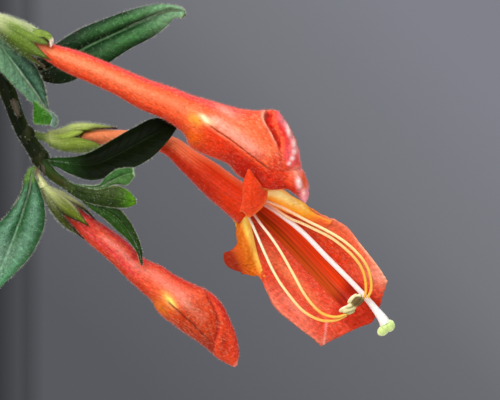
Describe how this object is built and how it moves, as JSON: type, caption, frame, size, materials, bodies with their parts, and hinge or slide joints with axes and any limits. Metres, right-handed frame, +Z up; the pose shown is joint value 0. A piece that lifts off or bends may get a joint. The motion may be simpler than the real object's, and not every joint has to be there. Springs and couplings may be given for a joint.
{
  "type": "goldfish plant hanging basket",
  "caption": "Trailing houseplant with hairy orange tubular flowers in a round plastic hanging pot with drip saucer, wire hanger and hook.",
  "frame": {"origin": "inside top of the hanging hook, where it bears on what carries it", "axes": "+Z up along the hanger; +X towards the long flowering shoot, whose flowers face -Y"},
  "size_m": [0.4339, 0.3959, 0.56],
  "materials": {
    "pot_plastic": "moulded terracotta-coloured polypropylene",
    "potting_mix": "loose peat, bark and perlite",
    "hanger_steel": "zinc plated wire",
    "leaf": "fleshy leaf with fine pale hairs",
    "stem": "dark green hairy stem",
    "calyx": "pale green hairy sepals",
    "corolla": "velvety orange-red petal tube with fine hairs",
    "stamen": "waxy golden filaments",
    "pistil": "waxy white style with a pale green stigma"
  },
  "bodies": {
    "root": {"pot": "pot_plastic", "drip_saucer": "pot_plastic", "potting_mix": "potting_mix", "hanger_hub": "pot_plastic", "hanger_hook": "hanger_steel", "hanger_wire_1": "hanger_steel", "hanger_wire_2": "hanger_steel", "hanger_wire_3": "hanger_steel", "trailing_shoot_01": "leaf", "trailing_shoot_02": "leaf", "trailing_shoot_03": "leaf", "trailing_shoot_04": "leaf", "trailing_shoot_05": "leaf", "trailing_shoot_06": "leaf", "trailing_shoot_07": "leaf", "trailing_shoot_08": "leaf", "trailing_shoot_09": "leaf", "trailing_shoot_10": "leaf", "trailing_shoot_11": "leaf", "crown_shoot_1": "leaf", "crown_shoot_2": "leaf", "crown_shoot_3": "leaf", "crown_shoot_4": "leaf", "crown_shoot_5": "leaf", "crown_shoot_6": "leaf", "flower_01": "corolla", "flower_02": "corolla", "flower_03": "corolla", "flower_04": "corolla", "flower_05": "corolla", "flower_06": "corolla", "flower_07": "corolla", "flower_08": "corolla", "flower_09": "corolla", "flower_10": "corolla", "flower_11": "corolla", "flower_12": "corolla", "flower_13": "corolla", "flower_14": "corolla", "flowering_stem": "stem", "leaf_upper": "leaf", "leaf_underside": "leaf", "leaf_lower": "leaf", "leaf_folded": "leaf", "leaf_tip_upper": "leaf", "leaf_tip_small": "leaf", "leaf_tip_hanging": "leaf", "calyx_upper": "calyx", "calyx_middle": "calyx", "calyx_lower": "calyx", "corolla_upper": "corolla", "corolla_open": "corolla", "corolla_bud": "corolla", "stamens": "stamen", "pistil": "pistil"}
  },
  "joints": []
}
